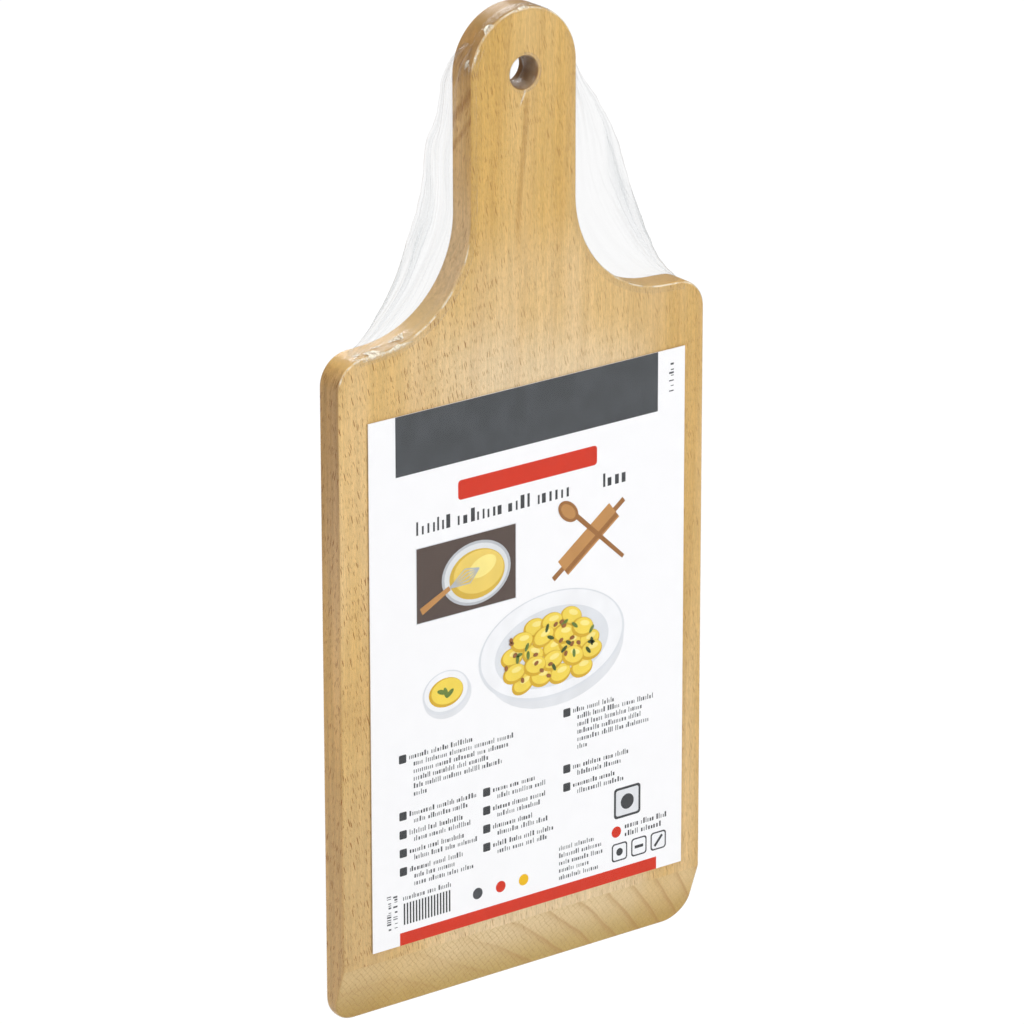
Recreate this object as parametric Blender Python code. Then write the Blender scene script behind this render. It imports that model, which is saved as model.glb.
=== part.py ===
"""Spaetzle board: a beech paddle with a scraping bevel, its printed card and its shrink film.

The board stands upright, as it hangs: +Z up along the handle, its front face towards -Y, its
width along X. The origin is the centre of the hanging hole, halfway through the board.
"""

from math import atan2, cos, hypot, pi, radians, sin

import bmesh
import bpy
from mathutils import Matrix, Vector

# Board, metres
BOARD_LENGTH = 0.320
BOARD_WIDTH = 0.140
BOARD_THICKNESS = 0.010
HANDLE_WIDTH = 0.040
SHOULDER_HEIGHT = 0.2207
SHOULDER_CORNER_RADIUS = 0.0100
SHOULDER_FALL = radians(3.0)
NECK_FILLET_RADIUS = 0.0360
FOOT_CORNER_RADIUS = 0.0090
EDGE_RADIUS = 0.0010

# Scraping bevel at the foot of the front face
BEVEL_HEIGHT = 0.0205
FOOT_EDGE_THICKNESS = 0.0025

# Hanging hole
HOLE_DIAMETER = 0.0104
HOLE_FROM_TOP = 0.0205

# Printed card on the front face
CARD_THICKNESS = 0.0003
CARD_ABOVE_BEVEL = 0.0037
CARD_BELOW_SHOULDER = 0.0212
CARD_LEFT_MARGIN = 0.0107
CARD_RIGHT_MARGIN = 0.0079

# Shrink film round board and card
FILM_THICKNESS = 0.0002
REST_GAP = 0.0003
FILM_OPENING_MARGIN = 0.0005
WEB_BELOW_TOP = 0.0100
WEB_END_FROM_SIDE = 0.0080
LEFT_WEB_SAG = 0.0080
RIGHT_WEB_SAG = 0.0040
WEB_STEP = 0.0012
WEB_SEAL_WIDTH = 0.0020
WEB_SINK = 0.00005

# How finely round stretches are cut up
CORNER_STEPS = 8
FILLET_STEPS = 14
HANDLE_STEPS = 16
WEB_STEPS = 18
HOLE_SIDES = 48
ROUNDING_STEPS = 2
FLAT_ANGLE = radians(0.5)
SHARP_ANGLE = radians(40.0)
WELD_DISTANCE = 0.000001

HOLE_HEIGHT = BOARD_LENGTH - HOLE_FROM_TOP
FRONT = -BOARD_THICKNESS / 2
BACK = BOARD_THICKNESS / 2
CARD_BACK = FRONT - REST_GAP
CARD_FRONT = CARD_BACK - CARD_THICKNESS
CARD_LEFT = -BOARD_WIDTH / 2 + CARD_LEFT_MARGIN
CARD_RIGHT = BOARD_WIDTH / 2 - CARD_RIGHT_MARGIN
CARD_FOOT = BEVEL_HEIGHT + CARD_ABOVE_BEVEL
CARD_TOP = SHOULDER_HEIGHT - CARD_BELOW_SHOULDER

COLOURS = {
    "beech": ((0.62, 0.42, 0.20), 0.60, 1.0),
    "printed_card": ((0.92, 0.93, 0.94), 0.50, 1.0),
    "clear_film": ((0.90, 0.92, 0.94), 0.12, 0.25),
}


def clear_scene():
    for thing in list(bpy.data.objects):
        bpy.data.objects.remove(thing, do_unlink=True)


def make_collection(name):
    collection = bpy.data.collections.new(name)
    bpy.context.scene.collection.children.link(collection)
    return collection


def make_material(name):
    colour, roughness, alpha = COLOURS[name]
    material = bpy.data.materials.new(name)
    material.use_nodes = True
    shader = material.node_tree.nodes["Principled BSDF"]
    shader.inputs["Base Color"].default_value = (*colour, 1.0)
    shader.inputs["Roughness"].default_value = roughness
    shader.inputs["Alpha"].default_value = alpha
    return material


def arc(centre, radius, start, end, steps):
    """Points (x, z) along an arc, both ends included."""
    turn = (end - start) / steps
    return [
        (centre[0] + radius * cos(start + turn * i), centre[1] + radius * sin(start + turn * i))
        for i in range(steps + 1)
    ]


def neck_fillet_radius():
    """The fillet's radius, limited by the shoulder's straight length from corner to handle."""
    slant = 1 - sin(SHOULDER_FALL)
    shoulder = BOARD_WIDTH / 2 - SHOULDER_CORNER_RADIUS * slant - HANDLE_WIDTH / 2
    return min(NECK_FILLET_RADIUS, shoulder / slant)


def right_outline(grow):
    """The right half of the paddle's outline, moved outwards by grow, from the foot to the top.

    Each point is (x, height from the foot).
    """
    half_width = BOARD_WIDTH / 2 + grow
    half_handle = HANDLE_WIDTH / 2 + grow
    foot_radius = FOOT_CORNER_RADIUS + grow
    corner_radius = SHOULDER_CORNER_RADIUS + grow
    fillet_radius = neck_fillet_radius() - grow

    foot = arc((half_width - foot_radius, foot_radius - grow), foot_radius, -pi / 2, 0, CORNER_STEPS)
    corner_end = pi / 2 - SHOULDER_FALL
    corner_centre = (half_width - corner_radius, SHOULDER_HEIGHT - SHOULDER_CORNER_RADIUS)
    corner = arc(corner_centre, corner_radius, 0, corner_end, CORNER_STEPS)

    # The fillet touches the shoulder line and the handle's side
    leave_x, leave_z = corner[-1]
    fillet_x = half_handle + fillet_radius
    run = (leave_x + fillet_radius * sin(SHOULDER_FALL) - fillet_x) / cos(SHOULDER_FALL)
    touch_x = leave_x - run * cos(SHOULDER_FALL)
    touch_z = leave_z + run * sin(SHOULDER_FALL)
    fillet_z = touch_z + fillet_radius * cos(SHOULDER_FALL)
    touch_angle = atan2(touch_z - fillet_z, touch_x - fillet_x)
    fillet = arc((fillet_x, fillet_z), fillet_radius, touch_angle, -pi, FILLET_STEPS)

    handle_centre = (0.0, BOARD_LENGTH - HANDLE_WIDTH / 2)
    handle = arc(handle_centre, half_handle, 0, pi / 2, HANDLE_STEPS)
    return foot + corner + fillet + handle


def board_outline(grow):
    right = right_outline(grow)
    left = [(-x, height) for x, height in reversed(right[:-1])]
    return right + left


def evenly_spaced(points, count):
    """count points at equal steps along a run of straight lines, both ends included."""
    lengths = [0.0]
    for (x0, z0), (x1, z1) in zip(points, points[1:]):
        lengths.append(lengths[-1] + hypot(x1 - x0, z1 - z0))
    spaced = []
    line = 0
    for i in range(count):
        want = lengths[-1] * i / (count - 1)
        while line < len(points) - 2 and lengths[line + 1] < want:
            line += 1
        share = (want - lengths[line]) / (lengths[line + 1] - lengths[line])
        spaced.append(Vector(points[line]).lerp(Vector(points[line + 1]), share))
    return spaced


def web_rim():
    """Where a web leaves the board's flat face, from the shoulder's corner up to the handle."""
    outline = right_outline(-EDGE_RADIUS)
    shoulder_x = BOARD_WIDTH / 2 - WEB_END_FROM_SIDE
    handle_top = BOARD_LENGTH - WEB_BELOW_TOP
    rim = []
    for (x0, z0), (x1, z1) in zip(outline, outline[1:]):
        if z0 < SHOULDER_HEIGHT / 2:
            continue
        if x0 > shoulder_x >= x1:
            share = (x0 - shoulder_x) / (x0 - x1)
            rim = [(shoulder_x, z0 + (z1 - z0) * share)]
        if rim and z1 < handle_top:
            rim.append((x1, z1))
        if rim and z0 < handle_top <= z1:
            share = (handle_top - z0) / (z1 - z0)
            rim.append((x0 + (x1 - x0) * share, handle_top))
    return evenly_spaced(rim, WEB_STEPS + 1)


def web_seam(rim, deepest):
    """Outer edge of a web: a hollow curve, deepest a third of the way up, clear of the board."""
    clear = EDGE_RADIUS + REST_GAP + FILM_THICKNESS + WEB_STEP
    chord = (rim[-1] - rim[0]).normalized()
    outward = Vector((chord.y, -chord.x))
    start = rim[0] + outward * clear
    end = rim[-1] + outward * clear
    seam = []
    for i in range(WEB_STEPS + 1):
        share = i / WEB_STEPS
        sag = deepest * 27 / 4 * share * (1 - share) ** 2
        seam.append(start.lerp(end, share) - outward * sag)
    return seam


def web_tent(name, side, level, half_seam, seal, collection):
    """A web as the space between two sheets that run from the board's faces to one seam.

    side is 1 or -1, level is how far from the middle the sheets start, half_seam half their
    distance at the seam, and seal the width that they lie together for.
    """
    rim = web_rim()
    deepest = RIGHT_WEB_SAG if side == 1 else LEFT_WEB_SAG
    sections = []
    for inner, outer in zip(rim, web_seam(rim, deepest)):
        width = (outer - inner).length
        clear = EDGE_RADIUS + REST_GAP + FILM_THICKNESS
        if width - seal > clear or seal == 0.0:
            sections.append((inner, outer + (inner - outer) * (seal / width)))
    shape = bmesh.new()
    rings = []
    for inner, outer in sections:
        corners = [(inner, -level), (outer, -half_seam), (outer, half_seam), (inner, level)]
        rings.append(
            [shape.verts.new((side * place.x, y, place.y - HOLE_HEIGHT)) for place, y in corners]
        )
    for lower, upper in zip(rings, rings[1:]):
        for i in range(4):
            j = (i + 1) % 4
            shape.faces.new((lower[i], lower[j], upper[j]))
            shape.faces.new((lower[i], upper[j], upper[i]))
    shape.faces.new(rings[0])
    shape.faces.new(rings[-1])
    bmesh.ops.recalc_face_normals(shape, faces=shape.faces)
    mesh = bpy.data.meshes.new(name)
    shape.to_mesh(mesh)
    shape.free()
    piece = bpy.data.objects.new(name, mesh)
    collection.objects.link(piece)
    return piece


def rectangle(left, right, low, high):
    return [(left, low), (right, low), (right, high), (left, high)]


def flat_piece(name, outline, front, back, collection):
    """A mesh object from an outline (x, height from the foot), between two depths."""
    curve = bpy.data.curves.new(name, "CURVE")
    curve.dimensions = "2D"
    curve.fill_mode = "BOTH"
    curve.extrude = (back - front) / 2
    spline = curve.splines.new("POLY")
    spline.points.add(len(outline) - 1)
    for point, (x, height) in zip(spline.points, outline):
        point.co = (x, height - HOLE_HEIGHT, 0.0, 1.0)
    spline.use_cyclic_u = True
    flat = bpy.data.objects.new(name + "_outline", curve)
    flat.location = (0.0, (front + back) / 2, 0.0)
    flat.rotation_euler = (pi / 2, 0.0, 0.0)
    collection.objects.link(flat)
    bpy.context.view_layer.update()

    evaluated = flat.evaluated_get(bpy.context.evaluated_depsgraph_get())
    mesh = bpy.data.meshes.new_from_object(evaluated)
    piece = bpy.data.objects.new(name, mesh)
    collection.objects.link(piece)
    shape = bmesh.new()
    shape.from_mesh(mesh)
    shape.transform(flat.matrix_world)
    bmesh.ops.remove_doubles(shape, verts=shape.verts, dist=WELD_DISTANCE)
    bmesh.ops.dissolve_limit(
        shape, angle_limit=FLAT_ANGLE, verts=shape.verts, edges=shape.edges
    )
    bmesh.ops.recalc_face_normals(shape, faces=shape.faces)
    shape.to_mesh(mesh)
    shape.free()
    bpy.data.objects.remove(flat)
    return piece


def cut_scraping_bevel(shape, grow):
    """Slopes the foot of the front face, with the slope moved outwards by grow."""
    depth = BOARD_THICKNESS - FOOT_EDGE_THICKNESS
    slope_length = hypot(depth, BEVEL_HEIGHT)
    outward = Vector((0.0, -BEVEL_HEIGHT, -depth)) / slope_length
    crease = Vector((0.0, FRONT, BEVEL_HEIGHT - HOLE_HEIGHT))
    cut = bmesh.ops.bisect_plane(
        shape,
        geom=shape.verts[:] + shape.edges[:] + shape.faces[:],
        plane_co=crease + outward * grow,
        plane_no=outward,
        clear_outer=True,
    )
    rim = [part for part in cut["geom_cut"] if isinstance(part, bmesh.types.BMEdge)]
    bmesh.ops.edgeloop_fill(shape, edges=rim)
    bmesh.ops.recalc_face_normals(shape, faces=shape.faces)


def round_edges(shape, radius):
    sharp = [
        edge
        for edge in shape.edges
        if len(edge.link_faces) == 2 and edge.calc_face_angle() > SHARP_ANGLE
    ]
    bmesh.ops.bevel(
        shape,
        geom=sharp,
        offset=radius,
        segments=ROUNDING_STEPS,
        profile=0.5,
        affect="EDGES",
        material=-1,
    )


def paddle(name, grow, collection):
    """The board's solid, moved outwards by grow on every side."""
    piece = flat_piece(name, board_outline(grow), FRONT - grow, BACK + grow, collection)
    shape = bmesh.new()
    shape.from_mesh(piece.data)
    cut_scraping_bevel(shape, grow)
    round_edges(shape, EDGE_RADIUS + grow)
    shape.to_mesh(piece.data)
    shape.free()
    return piece


def hole_cutter(name, diameter, collection):
    mesh = bpy.data.meshes.new(name)
    shape = bmesh.new()
    bmesh.ops.create_cone(
        shape,
        cap_ends=True,
        segments=HOLE_SIDES,
        radius1=diameter / 2,
        radius2=diameter / 2,
        depth=BOARD_THICKNESS * 3,
        matrix=Matrix.Rotation(pi / 2, 4, "X"),
    )
    shape.to_mesh(mesh)
    shape.free()
    piece = bpy.data.objects.new(name, mesh)
    collection.objects.link(piece)
    return piece


def card_block(name, grow, front, back, collection):
    outline = rectangle(CARD_LEFT - grow, CARD_RIGHT + grow, CARD_FOOT - grow, CARD_TOP + grow)
    return flat_piece(name, outline, front, back, collection)


def boolean(piece, operation, cutter):
    cutter.hide_render = True
    cutter.display_type = "WIRE"
    modifier = piece.modifiers.new(cutter.name, "BOOLEAN")
    modifier.operation = operation
    modifier.object = cutter
    modifier.solver = "EXACT"


def finish(piece, material):
    piece.data.materials.clear()
    piece.data.materials.append(material)
    piece.data.shade_smooth()
    piece.data.set_sharp_from_angle(angle=SHARP_ANGLE)


def build_board(parts, cutters):
    board = paddle("board", 0.0, parts)
    boolean(board, "DIFFERENCE", hole_cutter("hanging_hole", HOLE_DIAMETER, cutters))
    finish(board, make_material("beech"))


def build_card(parts):
    card = card_block("printed_card", 0.0, CARD_FRONT, CARD_BACK, parts)
    finish(card, make_material("printed_card"))


def build_film(parts, cutters):
    inside = REST_GAP
    outside = REST_GAP + FILM_THICKNESS
    opening = HOLE_DIAMETER + 2 * FILM_OPENING_MARGIN
    film = paddle("shrink_film", outside, parts)
    card_cover = card_block("card_cover", outside, CARD_FRONT - outside, 0.0, cutters)
    board_room = paddle("board_room", inside, cutters)
    card_room = card_block("card_room", inside, CARD_FRONT - inside, 0.0, cutters)
    boolean(film, "UNION", card_cover)
    for side, label in ((1, "right"), (-1, "left")):
        level = BACK + outside - WEB_SINK
        half_seam = REST_GAP / 2 + FILM_THICKNESS
        tent = web_tent("web_" + label, side, level, half_seam, 0.0, cutters)
        boolean(film, "UNION", tent)
    boolean(film, "DIFFERENCE", board_room)
    boolean(film, "DIFFERENCE", card_room)
    for side, label in ((1, "right"), (-1, "left")):
        level = BACK + inside - WEB_SINK
        room = web_tent("web_room_" + label, side, level, REST_GAP / 2, WEB_SEAL_WIDTH, cutters)
        boolean(film, "DIFFERENCE", room)
    boolean(film, "DIFFERENCE", hole_cutter("film_opening", opening, cutters))
    finish(film, make_material("clear_film"))


def main():
    clear_scene()
    parts = make_collection("spaetzle_board")
    cutters = make_collection("cutters")
    build_board(parts, cutters)
    build_card(parts)
    build_film(parts, cutters)


main()
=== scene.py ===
"""Spaetzle board: the finish of its beech, its printed card and its shrink film.

Everything is in metres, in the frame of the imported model: +Z up along the handle, the front
face towards -Y, and the origin in the middle of the hanging hole.
"""

import random
from math import asin, atan2, cos, hypot, pi, radians, sin, tan

import bmesh
import bpy
from bpy.props import FloatProperty, FloatVectorProperty, IntProperty, PointerProperty
from mathutils import Matrix, Vector, noise


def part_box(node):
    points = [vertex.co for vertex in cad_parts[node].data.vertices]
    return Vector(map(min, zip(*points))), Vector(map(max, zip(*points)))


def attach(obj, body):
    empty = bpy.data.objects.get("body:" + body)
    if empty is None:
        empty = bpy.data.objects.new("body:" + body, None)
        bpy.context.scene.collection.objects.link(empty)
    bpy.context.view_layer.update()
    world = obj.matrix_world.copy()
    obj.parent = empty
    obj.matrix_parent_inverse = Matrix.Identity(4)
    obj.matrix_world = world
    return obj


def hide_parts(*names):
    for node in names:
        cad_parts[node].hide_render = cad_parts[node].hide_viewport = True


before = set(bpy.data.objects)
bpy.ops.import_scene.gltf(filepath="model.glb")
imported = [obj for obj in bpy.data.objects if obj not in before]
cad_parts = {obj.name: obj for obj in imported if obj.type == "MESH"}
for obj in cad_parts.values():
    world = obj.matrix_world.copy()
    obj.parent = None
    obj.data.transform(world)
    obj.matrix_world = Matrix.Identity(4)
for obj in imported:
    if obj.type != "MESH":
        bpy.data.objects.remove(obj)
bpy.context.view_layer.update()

bl_info = {
    "name": "Spaetzle board",
    "version": (1, 0, 0),
    "blender": (4, 5, 0),
    "location": "3D View > Sidebar > Spaetzle board",
    "description": "Beech spaetzle board with a printed card under clear shrink film",
    "category": "Object",
}

BODY = "root"
BOARD_LOW, BOARD_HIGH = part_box("board")
CARD_LOW, CARD_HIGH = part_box("printed_card")
MILLIMETRE = 0.001
CLOSE = 0.000001
SHARP = radians(25)
SHARP_RIM = radians(40)
SHADED_SHARP = radians(35)
EDGE_STEPS = 4
RIM_STEPS = 3
NEAR_RIM = 0.0002
HOLE_SIDES = 72
DRILL_LENGTH = 0.040
# Steps round the outline's four bends, from the foot up
FOOT_STEPS = 12
SHOULDER_STEPS = 14
NECK_STEPS = 40
END_STEPS = 30


def shown(red, green, blue):
    """A colour as a screen shows it, 0 to 255 each, as the linear values that Blender keeps."""
    linear = []
    for level in (red, green, blue):
        share = level / 255
        linear.append(share / 12.92 if share <= 0.04045 else ((share + 0.055) / 1.055) ** 2.4)
    return tuple(linear)


def amount(name, description, default, unit="LENGTH"):
    """A setting that is a length in metres, or a number in another unit."""
    digits = 5 if unit == "LENGTH" else 2
    return FloatProperty(
        name=name, description=description, default=default, unit=unit, precision=digits
    )


def paint(name, description, *levels):
    """A setting that is a colour, its default as a screen shows it."""
    return FloatVectorProperty(
        name=name,
        description=description,
        default=shown(*levels),
        subtype="COLOR",
        size=3,
        min=0.0,
        max=1.0,
    )


class BeechSettings(bpy.types.PropertyGroup):
    """Sizes and colours of the wooden board."""

    handle_width: amount("Handle width", "Width of the straight handle", 0.040)
    shoulder_height: amount("Shoulder height", "From foot to shoulder's corner", 0.2207)
    shoulder_corner: amount("Shoulder corner", "Radius of the shoulder's corner", 0.010)
    shoulder_fall: amount("Shoulder fall", "Down towards the side", radians(3.0), "ROTATION")
    neck_fillet: amount("Neck fillet", "Radius between shoulder and handle", 0.036)
    foot_corner: amount("Foot corner", "Radius of the corners at the foot", 0.009)
    edge_rounding: amount("Edge rounding", "Radius along the board's edges", 0.0009)
    hole_rounding: amount("Hole rounding", "Radius round the hole's rims", 0.0005)
    bevel_height: amount("Bevel height", "Height of the scraping bevel", 0.0205)
    foot_edge: amount("Foot edge", "Thickness that the bevel leaves", 0.0025)
    hole_diameter: amount("Hole diameter", "Diameter of the hanging hole", 0.0104)
    pith_side: amount("Pith side", "Where the tree's pith lies across the board", -0.080)
    pith_depth: amount("Pith depth", "How far behind the board the pith lies", 0.300)
    ring_width: amount("Ring width", "Width of one growth ring", 0.0034)
    light_wood: paint("Light wood", "Palest beech", 226, 192, 136)
    middle_wood: paint("Middle wood", "Most of the beech", 217, 178, 108)
    # Also laid on the neck's edges as painted light, where the fillet faces up
    pale_blade_and_neck_light: paint("Pale wood", "The paler middle of the blade", 228, 204, 164)
    handle_tint: paint("Handle tint", "Deeper tone of the handle", 246, 241, 218)
    side_tint: paint("Side tint", "Warmer tone of the sides", 255, 242, 232)
    side_shade: paint("Side shade", "Sides, some way below the shoulders", 217, 214, 218)
    end_shade: paint("End shade", "Darker edge of the handle's end", 214, 204, 192)
    # Painted light: a warm tint on the shoulders' up-facing tops, standing in for light from above
    shoulder_top_light_tint: paint("Shoulder tint", "Shoulders' warm tops", 255, 244, 214)
    dull_wood: paint("Dull wood", "Greyer wood at the lower left", 198, 171, 130)
    right_shade: paint("Right shade", "Darker wood at the right", 246, 245, 245)
    bevel_wood: paint("Bevel wood", "Paler wood of the bevel", 213, 188, 138)
    # Painted shade: the bevel darkens towards the foot, where it rounds over
    bevel_shade: paint("Bevel shade", "Towards the foot's edge", 221, 210, 160)
    # Also the painted shade of the film's crease below the hole
    streak_and_crease_shade: paint("Streak tint", "Darker streaks in the handle", 206, 187, 156)
    ring_wood: paint("Ring wood", "Late wood at a ring's edge", 166, 116, 58)
    fleck_wood: paint("Fleck wood", "Flecks of the rays", 142, 88, 24)
    hatch_wood: paint("Hatch wood", "Rays cut slantwise", 160, 118, 66)
    # Darker end grain, and inside the drilled hole also painted shade
    cut_grain_and_hole_shade: paint("Cut wood", "End grain and drilled hole", 120, 80, 36)


class CardSettings(bpy.types.PropertyGroup):
    """Colours of the printed card."""

    ink_thickness: amount("Ink thickness", "Thickness of one layer of print", 0.000015)
    paper: paint("Paper", "The card's own white", 249, 249, 251)
    charcoal: paint("Charcoal", "Band across the top", 72, 75, 79)
    red: paint("Red", "Strip at the foot", 210, 46, 16)
    yellow: paint("Yellow", "Small chip", 235, 185, 8)
    small_print: paint("Small print", "Rows of small strokes", 84, 86, 90)
    seed: IntProperty(name="Seed", description="Draws the widths of the strokes", default=7)


class FilmSettings(bpy.types.PropertyGroup):
    """Sizes and colours of the shrink film."""

    clearance: amount("Clearance", "From the wood to the film", 0.00010)
    thickness: amount("Thickness", "Thickness of the film", 0.00004)
    opening_margin: amount("Opening margin", "Round the hanging hole", 0.0004)
    fold_height: amount("Fold height", "Height of the folds in the webs", 0.0008)
    crumple_height: amount("Crumple height", "Height of crumples at web ends", 0.0006)
    ripple: amount("Ripple", "How far a web's outer edge wanders", 0.0009)
    ruffle: amount("Ruffle", "Height of the ruffles on the board's edges", 0.0005)
    fold_grey: paint("Fold grey", "Film seen edge on in a fold", 184, 190, 193)
    # Painted highlights: the ruffles' white facets, the pale line on up-facing front edges and the
    # crease below the hole
    crease_highlight_white: paint("Crease white", "Crumpled film", 255, 248, 228)
    veil: paint("Veil", "Film in the hanging hole", 226, 206, 176)
    haze: paint("Haze", "What one pass through the film leaves", 253, 253, 253)


class StudioSettings(bpy.types.PropertyGroup):
    """The camera's lens, the light and the floor."""

    lens: amount("Lens", "Focal length of the camera", 237.8, "CAMERA")
    key_power: amount("Key power", "Soft lamp in front", 16.7, "POWER")
    rim_power: amount("Rim power", "Soft lamp above, at the left", 12.4, "POWER")
    back_power: amount("Back power", "Soft lamp behind", 16.0, "POWER")
    top_power: amount("Top power", "Soft lamp overhead", 4.0, "POWER")
    room_light: amount("Room light", "Even light of the room", 0.45, "NONE")
    floor_drop: amount("Floor drop", "From the board's foot to the floor", 0.16)
    floor: paint("Floor", "The pale floor", 236, 236, 236)


class Wire:
    """An output of a node. Arithmetic on it adds Math nodes to the same shader."""

    def __init__(self, shader, socket):
        self.shader = shader
        self.socket = socket

    def __add__(self, other):
        return self.shader.math("ADD", self, other)

    def __sub__(self, other):
        return self.shader.math("SUBTRACT", self, other)

    def __rsub__(self, other):
        return self.shader.math("SUBTRACT", other, self)

    def __mul__(self, other):
        return self.shader.math("MULTIPLY", self, other)

    def __truediv__(self, other):
        return self.shader.math("DIVIDE", self, other)

    def __abs__(self):
        return self.shader.math("ABSOLUTE", self)

    def between(self, low, high, at_low, at_high):
        """A smooth step from at_low, where this is low, to at_high, where it is high."""
        inputs = {
            "Value": self,
            "From Min": low,
            "From Max": high,
            "To Min": at_low,
            "To Max": at_high,
        }
        return self.shader.node("MapRange", inputs, interpolation_type="SMOOTHSTEP")[0]

    def rises(self, low, high, top=1.0):
        return self.between(low, high, 0.0, top)

    def falls(self, low, high, top=1.0):
        return self.between(low, high, top, 0.0)

    def band(self, low, full, still_full, high, top=1.0):
        """Rises from low to full, and falls again from still_full to high."""
        return self.rises(low, full, top) * self.falls(still_full, high)


class Shader:
    """The nodes of one material, or of the world. Each method adds nodes and gives a wire."""

    def __init__(self, name, for_world=False):
        self.owner = (bpy.data.worlds if for_world else bpy.data.materials).new(name)
        self.owner.use_nodes = True
        self.nodes = self.owner.node_tree.nodes
        self.links = self.owner.node_tree.links
        self.nodes.clear()
        self.places = None

    def node(self, kind, inputs=None, **settings):
        """Adds a node and gives its outputs as wires, by name and by number."""
        made = self.nodes.new("ShaderNode" + kind)
        for name, value in settings.items():
            setattr(made, name, value)
        for name, value in (inputs or {}).items():
            socket = made.inputs[name]
            if isinstance(value, Wire):
                self.links.new(value.socket, socket)
            elif socket.type == "RGBA":
                socket.default_value = (*value, 1.0)
            else:
                socket.default_value = value
        wires = {}
        for number, socket in enumerate(made.outputs):
            wires[number] = wires[socket.name] = Wire(self, socket)
        return wires

    def coordinates(self, kind):
        """Object, UV or Normal coordinates, all from one node."""
        if self.places is None:
            self.places = self.node("TexCoord")
        return self.places[kind]

    def mapped(self, place, scale=(1, 1, 1), turn=(0, 0, 0), shift=(0, 0, 0)):
        inputs = {"Vector": place, "Scale": scale, "Rotation": turn, "Location": shift}
        return self.node("Mapping", inputs)[0]

    def noise(self, place, scale, detail=2.0, roughness=0.5):
        inputs = {"Scale": 1.0, "Detail": detail, "Roughness": roughness}
        inputs["Vector"] = self.mapped(place, scale)
        return self.node("TexNoise", inputs)["Fac"]

    def cloud(self, cell, detail=2.0, roughness=0.5):
        """Noise on the object's coordinates, in cells of these metres (x, y, z)."""
        scale = [1 / size for size in cell]
        return self.noise(self.coordinates("Object"), scale, detail, roughness)

    def cells(self, place):
        """Irregular cells of about unit size on two coordinates, each of a random colour."""
        inputs = {"Vector": place, "Scale": 1.0}
        return self.node("TexVoronoi", inputs, voronoi_dimensions="2D")

    def math(self, operation, first, second=0.0):
        return self.node("Math", {0: first, 1: second}, operation=operation)[0]

    def larger(self, first, second):
        return self.math("MAXIMUM", first, second)

    def length(self, place, axes):
        """Distance from the origin, measured only along the axes marked 1."""
        kept = self.node("VectorMath", {0: place, 1: axes}, operation="MULTIPLY")["Vector"]
        return self.node("VectorMath", {0: kept}, operation="LENGTH")["Value"]

    def split(self, place):
        parts = self.node("SeparateXYZ", {"Vector": place})
        return parts["X"], parts["Y"], parts["Z"]

    def join(self, across, along):
        return self.node("CombineXYZ", {"X": across, "Y": along})[0]

    def blend(self, share, first, second, how="MIX"):
        """Mixes two colours, by the sockets that the Mix node has for colours."""
        inputs = {0: share, 6: first, 7: second}
        return self.node("Mix", inputs, data_type="RGBA", blend_type=how)[2]

    def clouded(self, cloud, colour, dimmer):
        """A colour that the cloud darkens here and there, to this share of it."""
        return self.blend(cloud.rises(0.3, 0.7), colour, [level * dimmer for level in colour])

    def bump(self, height, distance, strength):
        inputs = {"Height": height, "Distance": distance, "Strength": strength}
        return self.node("Bump", inputs)[0]

    def mixed(self, share, first, second):
        return self.node("MixShader", {0: share, 1: first, 2: second})[0]

    def direct_rays(self):
        """1 for rays from the camera, straight or through a clear surface, else 0."""
        path = self.node("LightPath")
        return self.larger(path["Is Camera Ray"], path["Is Transmission Ray"])

    def finish(self, surface, output="OutputMaterial"):
        self.node(output, {"Surface": surface})
        return self.owner


# Slanting streaks on the handle's left side: height, half width and strength
STREAKS = ((-0.0085, 0.0038, 0.8), (-0.0172, 0.0024, 0.6))
# Ray flecks: lean in degrees, cell (width, length), from which random draw they show and from
# which one in full, and strength
FLECKS = (
    (-13, (0.00082, 0.0074), 0.56, 0.90, 0.85),
    (-8, (0.00074, 0.0056), 0.60, 0.92, 0.75),
    (-17, (0.00064, 0.0042), 0.62, 0.94, 0.7),
    (-4, (0.00048, 0.0024), 0.45, 0.90, 0.5),
)
# Smallest and largest radius of a fleck, as shares of its cell
FLECK_REACH = (0.0968, 0.22)
# How far the growth rings' cylinder leans, in degrees about X and Y
RING_LEAN = (-1.6, 0.9)
# Rays that the bevel cuts slantwise: lean in degrees, spacing and strength
HATCHES = ((-40, 0.00165, 0.44), (48, 0.00180, 0.34))
# Stretches of height over which the wood's tones change
HANDLE_FROM = (-0.080, -0.035)
BLADE_TO = (-0.098, -0.072)
PALE_TO = (-0.065, -0.045)
NECK_TO = (-0.055, -0.025)
DULL_TO = (-0.250, -0.165)
END_FROM = (-0.012, 0.008)
SHOULDER_TOP_TO = (-0.070, -0.050)
# Stretches of distance to the right of the middle, and the pale blade's own middle
PALE_MIDDLE = 0.012
PALE_HALF = (0.020, 0.075)
PALE_RIGHT = (0.044, 0.057)
DULL_LEFT = (-0.060, -0.045)
SHADE_RIGHT = (0.030, 0.058)
FLECKS_RIGHT = (-0.045, 0.012)
RINGS_RIGHT = (-0.025, 0.015)
HATCH_RIGHT = (-0.010, 0.050)


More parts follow.
